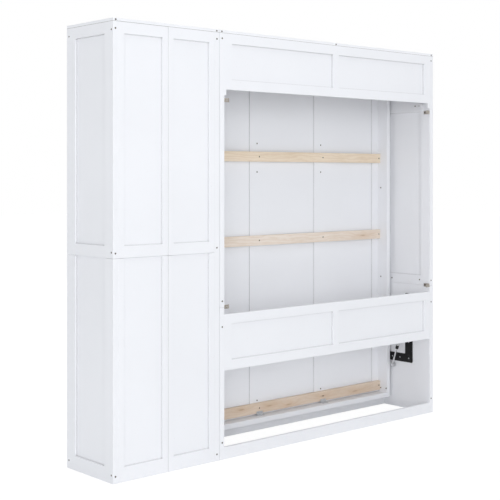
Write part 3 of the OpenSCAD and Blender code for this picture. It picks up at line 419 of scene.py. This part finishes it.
def screw_axis(points):
    """(top of the head, direction out of the head, length) of one screw solid."""
    low, high = corners(points)
    size = high - low
    axis = max(range(3), key=lambda i: size[i])
    middle = (low + high) / 2
    others = [i for i in range(3) if i != axis]

    def reach(end):
        near = [p for p in points if abs(p[axis] - end) < END_SLICE]
        return max(math.hypot(*(p[i] - middle[i] for i in others)) for p in near)

    sign = 1 if reach(high[axis]) > reach(low[axis]) else -1
    top = middle.copy()
    top[axis] = (high if sign > 0 else low)[axis]
    direction = Vector((0, 0, 0))
    direction[axis] = sign
    return top, direction, size[axis]


def ring(work, radius, height, count, turn):
    """A ring of new points about turn's Z axis."""
    return [work.verts.new(turn @ Vector((radius * math.cos(a), radius * math.sin(a), height)))
            for a in (2 * math.pi * i / count for i in range(count))]


def bridge(work, low, high):
    """Faces between two rings of as many points."""
    for i in range(len(low)):
        j = (i + 1) % len(low)
        work.faces.new((low[i], low[j], high[j], high[i]))


def facing(place, direction):
    """Placement at a point with Z along direction."""
    return Matrix.Translation(place) @ Vector(direction).to_track_quat("Z", "Y").to_matrix().to_4x4()


def cross_outline(length, width):
    """The twelve corners of the drive cross."""
    a, b = length / 2, width / 2
    quarter = [(a, -b), (a, b), (b, b)]
    points = []
    for turns in range(4):
        for x, y in quarter:
            for _ in range(turns):
                x, y = -y, x
            points.append((x, y))
    return points


def add_screw(work, top, direction, length, head_r=HEAD_R, head_h=HEAD_H, shank_r=SHANK_R, spin=0.0):
    """A cross-head screw with its head's top at the point top."""
    scale = head_r / HEAD_R
    turn = facing(top, direction) @ Matrix.Rotation(spin, 4, "Z")
    count = SCREW_SIDES
    rim = ring(work, head_r - HEAD_EDGE * scale, 0, count, turn)
    side = ring(work, head_r, -HEAD_EDGE * scale, count, turn)
    base = ring(work, head_r, -head_h, count, turn)
    neck = ring(work, shank_r, -head_h - NECK_STEP, count, turn)
    end = ring(work, shank_r, -length + shank_r, count, turn)
    bridge(work, side, rim)
    bridge(work, base, side)
    bridge(work, neck, base)
    bridge(work, end, neck)
    tip = work.verts.new(turn @ Vector((0, 0, -length)))
    for i in range(count):
        work.faces.new((end[(i + 1) % count], end[i], tip))
    outline = cross_outline(CROSS_L * scale, CROSS_W * scale)
    mouth = [work.verts.new(turn @ Vector((x, y, 0))) for x, y in outline]
    floor = [work.verts.new(turn @ Vector((x * CROSS_TAPER, y * CROSS_TAPER, -CROSS_DEPTH * scale)))
             for x, y in outline]
    bridge(work, floor, mouth)
    work.faces.new(floor)
    edges = [work.edges.get((loop[i], loop[(i + 1) % len(loop)])) or
             work.edges.new((loop[i], loop[(i + 1) % len(loop)]))
             for loop in (rim, mouth) for i in range(len(loop))]
    bmesh.ops.triangle_fill(work, use_beauty=True, use_dissolve=False, edges=edges)


# ---- The CAD nodes' finish ----

EDGE_SEGMENTS = 2
FLAT_ANGLE = math.radians(0.5)     # faces that turn by less are made one
EDGE_ANGLE = math.radians(40)      # edges that turn by more are rounded


def soften(node, width):
    """Welds a board's split corners, rounds its edges and keeps its faces flat in shade."""
    piece = NODES[node]
    weld = piece.modifiers.new("weld", "WELD")
    weld.merge_threshold = WELD
    flat = piece.modifiers.new("flat", "DECIMATE")
    flat.decimate_type = "DISSOLVE"
    flat.angle_limit = FLAT_ANGLE
    bevel = piece.modifiers.new("edges", "BEVEL")
    bevel.width = width
    bevel.segments = EDGE_SEGMENTS
    bevel.limit_method = "ANGLE"
    bevel.angle_limit = EDGE_ANGLE
    bevel.use_clamp_overlap = True
    normals = piece.modifiers.new("normals", "WEIGHTED_NORMAL")
    normals.keep_sharp = False


def finish_node(node, material):
    """Gives a CAD node one material."""
    piece = NODES[node]
    piece.data.materials.clear()
    piece.data.materials.append(material)


# Soft knots in the battens, mostly in the lowest one; x along the wall, z of the batten
BATTEN_KNOTS = [(0.33, 0.116), (0.06, 0.130), (-0.15, 0.124), (-0.30, 0.110), (-0.58, 0.122), (-0.86, 0.114),
                (-0.93, 1.06), (-0.30, 0.59), (-0.75, 2.015)]
# The battens' own tones, by their height
PINE_TOP = 2.2
BATTEN_TONES = [(0.121, (0.76, 0.65, 0.555)), (0.592, (0.82, 0.71, 0.60)), (1.063, (0.86, 0.78, 0.71)),
                (1.534, (0.89, 0.77, 0.62)), (2.005, (0.85, 0.73, 0.60))]

# The doors' and drawers' handles lie within HANDLE_ZONE of the closet's middle, and their other fittings
# beyond it
CLOSET_MID = sum(j["pos_m"][0] for j in frame["joints"] if j["name"].endswith("door_swing")) / 2
HANDLE_ZONE = 0.20

LOOKS = {
    "white_board": white_paint("white_paint"),
    "pine": pine("pine", BATTEN_KNOTS, BATTEN_TONES),
    "black_steel": powder_coat("black_powder_coat"),
    "rubber": rubber("black_rubber"),
    "strut_tube": enamel("strut_grey", (0.56, 0.57, 0.58)),
    "strut_cap": moulded_plastic("strut_cap_black"),
    "strut_rod": plated("polished_rod", (0.62, 0.62, 0.63), (0.74, 0.74, 0.75), (0.05, 0.14), (1, 1, 0.05)),
    "zinc_steel": plated("bright_zinc", ZINC_DARK, ZINC_LIGHT),
    "chrome_tube": plated("chrome_tube", (0.64, 0.64, 0.65), (0.72, 0.72, 0.73), (0.06, 0.13), (0.05, 1, 1)),
    "dull_zinc": dull_zinc("dull_zinc"),
    "screw_bronze": plated("screw_bronze", (0.10, 0.085, 0.07), (0.20, 0.17, 0.14), (0.30, 0.48)),
    "door_metal": black_and_zinc("door_metal", CLOSET_MID, HANDLE_ZONE),
    "drawer_metal": black_and_zinc("drawer_metal", CLOSET_MID, HANDLE_ZONE),
}
EDGE_R = {"white_board": 1.1 * MM, "pine": 1.6 * MM, "black_steel": 0.5 * MM, "rubber": 1.0 * MM,
          "zinc_steel": 0.3 * MM, "dull_zinc": 0.35 * MM, "door_metal": 0.5 * MM, "drawer_metal": 0.5 * MM}

# The top boards' paint carries the painted shade along the joint under them.
TOP_PAINT = white_paint("white_paint_top", joint_z=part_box("bed_top")[0].z)

for part in frame["record"]["subparts"]:
    node, slot = part["node"], part["material_slot"]
    finish_node(node, TOP_PAINT if node in ("closet_top", "bed_top") else LOOKS[slot])
    if slot in EDGE_R:
        soften(node, EDGE_R[slot])


# ---- Pieces modelled here ----

JOINTS = {joint["name"]: joint for joint in frame["joints"]}


def screws(node, body, light_places=()):
    """Cross-head screws in place of a CAD node's plain ones.

    light_places are boxes, and a screw with its head in one of them is zinc plated.
    """
    solids = islands(node)

    def make(work):
        for index, points in enumerate(solids):
            top, direction, length = screw_axis(points)
            before = len(work.faces)
            add_screw(work, top, direction, length, spin=index * SPIN_STEP)
            if any(all(low[i] - MM < top[i] < high[i] + MM for i in range(3))
                   for low, high in light_places):
                work.faces.ensure_lookup_table()
                for face in work.faces[before:]:
                    face.material_index = 1

    piece = new_piece(node + "_detailed", make, LOOKS["screw_bronze"], body)
    piece.data.materials.append(LOOKS["zinc_steel"])
    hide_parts(node)


def small_screws(name, places, body, look="zinc_steel"):
    """Short cross-head screws; places are (top of the head, direction out of the head)."""
    def make(work):
        for index, (top, direction) in enumerate(places):
            add_screw(work, Vector(top), Vector(direction), SMALL_L, SMALL_HEAD_R, SMALL_HEAD_H,
                      SMALL_SHANK_R, index * SMALL_SPIN_STEP)

    new_piece(name, make, LOOKS[look], body)


LATHE_SIDES = 32
SHARP_ANGLE = math.radians(35)


def lathe(work, profile, turn):
    """Turns a closed profile of (radius, height) about the axis; a radius of 0 is a point on it."""
    count = LATHE_SIDES
    rings = [[work.verts.new(turn @ Vector((0, 0, h)))] if r == 0 else ring(work, r, h, count, turn)
             for r, h in profile]
    pairs = list(zip(rings, rings[1:] + rings[:1]))
    for low, high in pairs:
        if len(low) == 1 and len(high) == 1:
            continue
        for i in range(count):
            j = (i + 1) % count
            if len(low) == 1:
                work.faces.new((low[0], high[j], high[i]))
            elif len(high) == 1:
                work.faces.new((low[i], low[j], high[0]))
            else:
                work.faces.new((low[i], low[j], high[j], high[i]))


def smooth_by_angle(piece):
    """Smooth shading with sharp edges where the faces turn by more than SHARP_ANGLE."""
    mesh = piece.data
    work = bmesh.new()
    work.from_mesh(mesh)
    for face in work.faces:
        face.smooth = True
    for edge in work.edges:
        edge.smooth = edge.calc_face_angle(math.pi) < SHARP_ANGLE
    work.to_mesh(mesh)
    work.free()


def turned(name, profiles, look, body, replaced=None):
    """One piece of several turned rings; profiles are (profile in mm, placement)."""
    def make(work):
        for profile, turn in profiles:
            lathe(work, [(r * MM, h * MM) for r, h in profile], turn)

    piece = new_piece(name, make, LOOKS[look], body)
    smooth_by_angle(piece)
    if replaced:
        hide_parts(replaced)


screws("cabinet_screws", "cabinets", [corners(points) for points in islands("pivot_brackets")])
screws("bed_screws", "bed")

# Small screws in the hinge leaves and leg brackets. The doors' hinges run along Z, the desk's along X
SMALL_L = 2.6 * MM
SMALL_HEAD_R = 3.0 * MM
SMALL_HEAD_H = 1.0 * MM
SMALL_SHANK_R = 1.6 * MM
SCREW_PROUD = 0.5 * MM        # how far a leaf's screw heads stand out of the leaf
LEAF_MIDDLE = 15.5 * MM       # from a hinge's axis to the middle of a leaf's screws
LEAF_T = 2 * MM
LEAF_STAGGER = 3.5 * MM
DOOR_LEAF_PITCH = 20 * MM
TO_ROOM = (0, -1, 0)


def door_leaf_screws():
    """Screws in the hinge leaves on the closet and in those that swing with its doors."""
    fixed = []
    moving = {"left": [], "right": []}
    for points in islands("door_hinge_plates"):
        low, high = corners(points)
        side = "right" if (low.x + high.x) / 2 > CLOSET_MID else "left"
        sign = 1 if side == "right" else -1
        axis_x = JOINTS[side + "_door_swing"]["pos_m"][0]
        leaf_y = high.y - LEAF_T - SCREW_PROUD
        middle = (low.z + high.z) / 2
        for row in (-1, 0, 1):
            up = row * DOOR_LEAF_PITCH
            out = LEAF_MIDDLE + (LEAF_STAGGER if row else -LEAF_STAGGER)
            fixed.append(((axis_x + sign * out, leaf_y, middle + up), TO_ROOM))
            moving[side].append(((axis_x - sign * out, leaf_y, middle + up), TO_ROOM))
    small_screws("door_hinge_screws", fixed, "cabinets")
    for side, places in moving.items():
        small_screws(side + "_door_leaf_screws", places, side + "_door")


door_leaf_screws()

BRACKET_EAR = 23 * MM         # from a leg bracket's middle to the screws in its ears
BRACKET_T = 2.5 * MM
BED_LEAF_PITCH = 24 * MM      # the desk's hinge leaves on the bed's front
BED_LEAF_STAGGER = 3 * MM
DESK_LEAF_REACH = 22 * MM     # the desk's own leaves: from a leaf's middle to its screws
DESK_LEAF_INSET = 7 * MM
APART = 100 * MM              # plates further than this from a fold's axis belong to another fold


def ear_screws(low, high):
    """The two screws in the ears of a leg bracket, from the corners of its box."""
    y = high.y - BRACKET_T - SCREW_PROUD
    return [(((low.x + high.x) / 2 + side * BRACKET_EAR, y, (low.z + high.z) / 2), TO_ROOM)
            for side in (-1, 1)]


def front_plate_screws():
    """Screws in the desk's fixed hinge leaves and in the four leg brackets."""
    axis = Vector(JOINTS["desk_fold"]["pos_m"])
    on_bed = []
    for points in islands("front_hinge_plates"):
        low, high = corners(points)
        if high.z < JOINTS["bed_leg_fold"]["pos_m"][2] - APART:
            middle = (low.x + high.x) / 2
            y = high.y - LEAF_T - SCREW_PROUD
            for row in (-1, 0, 1):
                shift = BED_LEAF_STAGGER if row else -BED_LEAF_STAGGER
                on_bed.append(((middle + row * BED_LEAF_PITCH, y, axis.z - LEAF_MIDDLE - shift), TO_ROOM))
        else:
            on_bed += ear_screws(low, high)
    small_screws("front_plate_screws", on_bed, "bed", "black_steel")
    on_desk = []
    for points in islands("desk_fittings"):
        low, high = corners(points)
        if low.z > axis.z + APART:
            on_desk += ear_screws(low, high)
        else:
            middle = (low.x + high.x) / 2
            y = low.y + DESK_LEAF_INSET
            on_desk += [((middle + along, y, high.z - LEAF_T - SCREW_PROUD), (0, 0, -1))
                        for along in (-DESK_LEAF_REACH, DESK_LEAF_REACH)]
    small_screws("desk_plate_screws", on_desk, "desk", "black_steel")


front_plate_screws()


CORNER_SCREW = 13 * MM        # a corner bracket's screws, from its middle and from its corner
CORNER_T = 2 * MM


def corner_bracket_screws():
    """Four screws in each of the two corner brackets at the lowest batten."""
    places = []
    for points in islands("corner_brackets"):
        low, high = corners(points)
        middle = (low.x + high.x) / 2
        for side in (-1, 1):
            x = middle + side * CORNER_SCREW
            places.append(((x, low.y + CORNER_T + SCREW_PROUD, low.z + CORNER_SCREW), (0, 1, 0)))
            places.append(((x, low.y + CORNER_SCREW, low.z + CORNER_T + SCREW_PROUD), (0, 0, 1)))
    small_screws("corner_bracket_screws", places, "bed")


corner_bracket_screws()

# The flared rosette at the foot of a handle's post, from the board's face outwards
ROSETTE = [(3.8, -0.3), (8.6, -0.3), (8.6, 0.7), (8.0, 1.3), (6.6, 1.7), (5.4, 2.5), (4.8, 3.6), (3.8, 3.8)]
HANDLE_POST = 80 * MM         # from a handle's middle to its posts
SHORTEST_HANDLE = 150 * MM    # shorter solids among the fittings are no handles
Y_AXIS = 1


def rosettes(node, body, name):
    """A rosette at the foot of each post of a node's handles."""
    placements = []
    for points in islands(node):
        low, high = corners(points)
        size = high - low
        along = max(range(3), key=lambda i: size[i])
        if size[along] < SHORTEST_HANDLE or along == Y_AXIS:
            continue
        for side in (-1, 1):
            foot = (low + high) / 2
            foot.y = high.y
            foot[along] += side * HANDLE_POST
            placements.append((ROSETTE, facing(foot, TO_ROOM)))
    turned(name, placements, "black_steel", body)


rosettes("bed_handles", "bed", "bed_handle_rosettes")
for side in ("left", "right"):
    rosettes(side + "_door_fittings", side + "_door", side + "_door_handle_rosettes")
for level in ("upper", "lower"):
    rosettes(level + "_drawer_fittings", level + "_drawer", level + "_drawer_handle_rosettes")


def grooves(outer, inner, starts):
    """Outline points of the grooves round a turned piece, one groove upwards from each start."""
    return [point for start in starts for point in
            ((outer, start), (inner, start + 0.4), (inner, start + 1.4), (outer, start + 1.8))]


# A ribbed rubber ferrule on a leg's end, from its sole upwards
FOOT = [(0, 0.8), (8.4, 0.8), (9.4, 0), (11.6, 0), (12.8, 1.0), (13, 2.2)] + grooves(13, 12.4, (4.4, 7.4)) + [
    (12.8, 12.8), (12.2, 13.8), (11.05, 14), (11.05, 3), (0, 3)]


def feet(node, body):
    """Turned feet in place of a node's plain ones."""
    placements = []
    for points in islands(node):
        low, high = corners(points)
        middle = (low + high) / 2
        placements.append((FOOT, facing((middle.x, middle.y, low.z), (0, 0, 1))))
    turned(node + "_turned", placements, "rubber", body, replaced=node)


feet("desk_leg_feet", "desk_legs")
feet("bed_leg_feet", "bed_legs")

# A strut's cap with its grooves, and the wiper ring and the hexagonal collar that finish the cylinder's ends
CAP = [(7.0, 3.2), (7.0, 0.2), (8.0, 0), (8.8, 0.4), (9.5, 1.4)] + grooves(9.7, 8.9, (3.2, 6.4, 9.6)) + [
    (10, 13), (10, 23.4), (9.4, 24), (5.2, 24), (5.2, 3.2)]
WIPER = [(5.2, 3.1), (5.2, 0.5), (5.7, 0.2), (6.6, 0.2), (6.9, 0.6), (6.9, 3.1)]
COLLAR_R = 8.6 * MM
COLLAR = (11.5 * MM, 18 * MM)  # from the upper stud
COLLAR_EDGE = 0.8 * MM


def strut_finish(side):
    """A strut's cap and wiper ring at its lower end, and the collar below its upper stud."""
    swing = Vector(JOINTS[side + "_strut_swing"]["pos_m"])
    up = Vector(JOINTS[side + "_strut_stroke"]["axis"]).normalized()
    body = side + "_strut_cylinder"
    node = "strut_cap_" + side
    lowest = max((swing - vertex.co).dot(up) for vertex in NODES[node].data.vertices)
    x = sum(corners([vertex.co for vertex in NODES[node].data.vertices]), Vector()).x / 2
    place = facing(Vector((x, swing.y, swing.z)) - up * lowest, up)
    turned(node + "_turned", [(CAP, place)], "strut_cap", body, replaced=node)
    turned("strut_wiper_" + side, [(WIPER, place)], "zinc_steel", body)

    def hexagon(work):
        turn = facing(Vector((x, swing.y, swing.z)), -up)
        start, end = COLLAR
        outline = [(COLLAR_R - COLLAR_EDGE, start), (COLLAR_R, start + COLLAR_EDGE),
                   (COLLAR_R, end - COLLAR_EDGE), (COLLAR_R - COLLAR_EDGE, end)]
        loops = [ring(work, radius, height, 6, turn) for radius, height in outline]
        for low, high in zip(loops, loops[1:]):
            bridge(work, low, high)
        work.faces.new(loops[0])
        work.faces.new(loops[-1])

    new_piece("strut_collar_" + side, hexagon, LOOKS["zinc_steel"], body)


for side in ("left", "right"):
    strut_finish(side)


# ---- Stage, lights and camera ----

FLOOR_HALF = 30.0             # metres
FLOOR_DROP = 0.5 * MM         # below what stands on it
FLOOR_GLOW = 1.08
FLOOR_GLOW_SHARE = 0.85       # of what camera rays see of the floor, the rest being its paint
LAMPS_AIM = Vector((0, 0, 1.0))


def backdrop():
    """A white floor that keeps the object's shadow."""
    m = Shader("floor")
    tree = m.tree
    output = next(n for n in tree.nodes if n.type == "OUTPUT_MATERIAL")
    m.set(Base_Color=(0.93, 0.93, 0.93, 1), Roughness=0.7)
    glow = m.node("ShaderNodeEmission")
    glow.inputs["Strength"].default_value = FLOOR_GLOW
    path = m.node("ShaderNodeLightPath")
    share = m.maths("MULTIPLY", path.outputs["Is Camera Ray"], FLOOR_GLOW_SHARE)
    mix = m.node("ShaderNodeMixShader")
    m.link(share, mix.inputs[0])
    m.link(m.main.outputs["BSDF"], mix.inputs[1])
    m.link(glow.outputs["Emission"], mix.inputs[2])
    m.link(mix.outputs["Shader"], output.inputs["Surface"])
    mesh = bpy.data.meshes.new("floor")
    half = FLOOR_HALF
    rim = [(-half, -half, 0), (half, -half, 0), (half, half, 0), (-half, half, 0)]
    mesh.from_pydata(rim, [], [(0, 1, 2, 3)])
    floor = bpy.data.objects.new("floor", mesh)
    floor.location.z = -FLOOR_DROP
    bpy.context.scene.collection.objects.link(floor)
    floor.data.materials.append(m.material)


def white_world(lighting):
    """White to camera, glossy and transmission rays; lighting is its strength for every other ray."""
    world = bpy.data.worlds.new("studio")
    bpy.context.scene.world = world
    world.use_nodes = True
    tree = world.node_tree
    tree.nodes.clear()
    seen = tree.nodes.new("ShaderNodeBackground")
    seen.inputs["Color"].default_value = (1, 1, 1, 1)
    light = tree.nodes.new("ShaderNodeBackground")
    light.inputs["Color"].default_value = (0.96, 0.98, 1, 1)
    light.inputs["Strength"].default_value = lighting
    path = tree.nodes.new("ShaderNodeLightPath")
    white_to = path.outputs["Is Camera Ray"]
    for ray in ("Is Transmission Ray", "Is Glossy Ray"):
        either = tree.nodes.new("ShaderNodeMath")
        either.operation = "MAXIMUM"
        tree.links.new(white_to, either.inputs[0])
        tree.links.new(path.outputs[ray], either.inputs[1])
        white_to = either.outputs[0]
    mix = tree.nodes.new("ShaderNodeMixShader")
    output = tree.nodes.new("ShaderNodeOutputWorld")
    tree.links.new(white_to, mix.inputs[0])
    tree.links.new(light.outputs[0], mix.inputs[1])
    tree.links.new(seen.outputs[0], mix.inputs[2])
    tree.links.new(mix.outputs[0], output.inputs["Surface"])


def softbox(name, place, size, watts):
    """A square area light that faces the object's middle."""
    data = bpy.data.lights.new(name, "AREA")
    data.shape = "SQUARE"
    data.size = size
    data.energy = watts
    lamp = bpy.data.objects.new(name, data)
    lamp.location = place
    aim = LAMPS_AIM - Vector(place)
    lamp.rotation_euler = aim.to_track_quat("-Z", "Y").to_euler()
    bpy.context.scene.collection.objects.link(lamp)


def camera():
    """The photograph's own view."""
    data = bpy.data.cameras.new("camera")
    data.lens = CAMERA_LENS
    data.sensor_width = 36.0
    data.shift_y = CAMERA_SHIFT_Y
    made = bpy.data.objects.new("camera", data)
    made.location = CAMERA_PLACE
    made.rotation_euler = (math.radians(90), 0, CAMERA_TURN)
    bpy.context.scene.collection.objects.link(made)
    bpy.context.scene.camera = made


backdrop()
white_world(0.66)
softbox("key", (6.2, 8.8, 1.9), 6.0, 480)
softbox("overhead", (0.5, 1.6, 6.5), 4.0, 60)
softbox("front_fill", (-3.5, -8.0, 3.0), 4.5, 290)
camera()
bpy.context.scene.view_settings.view_transform = "Standard"
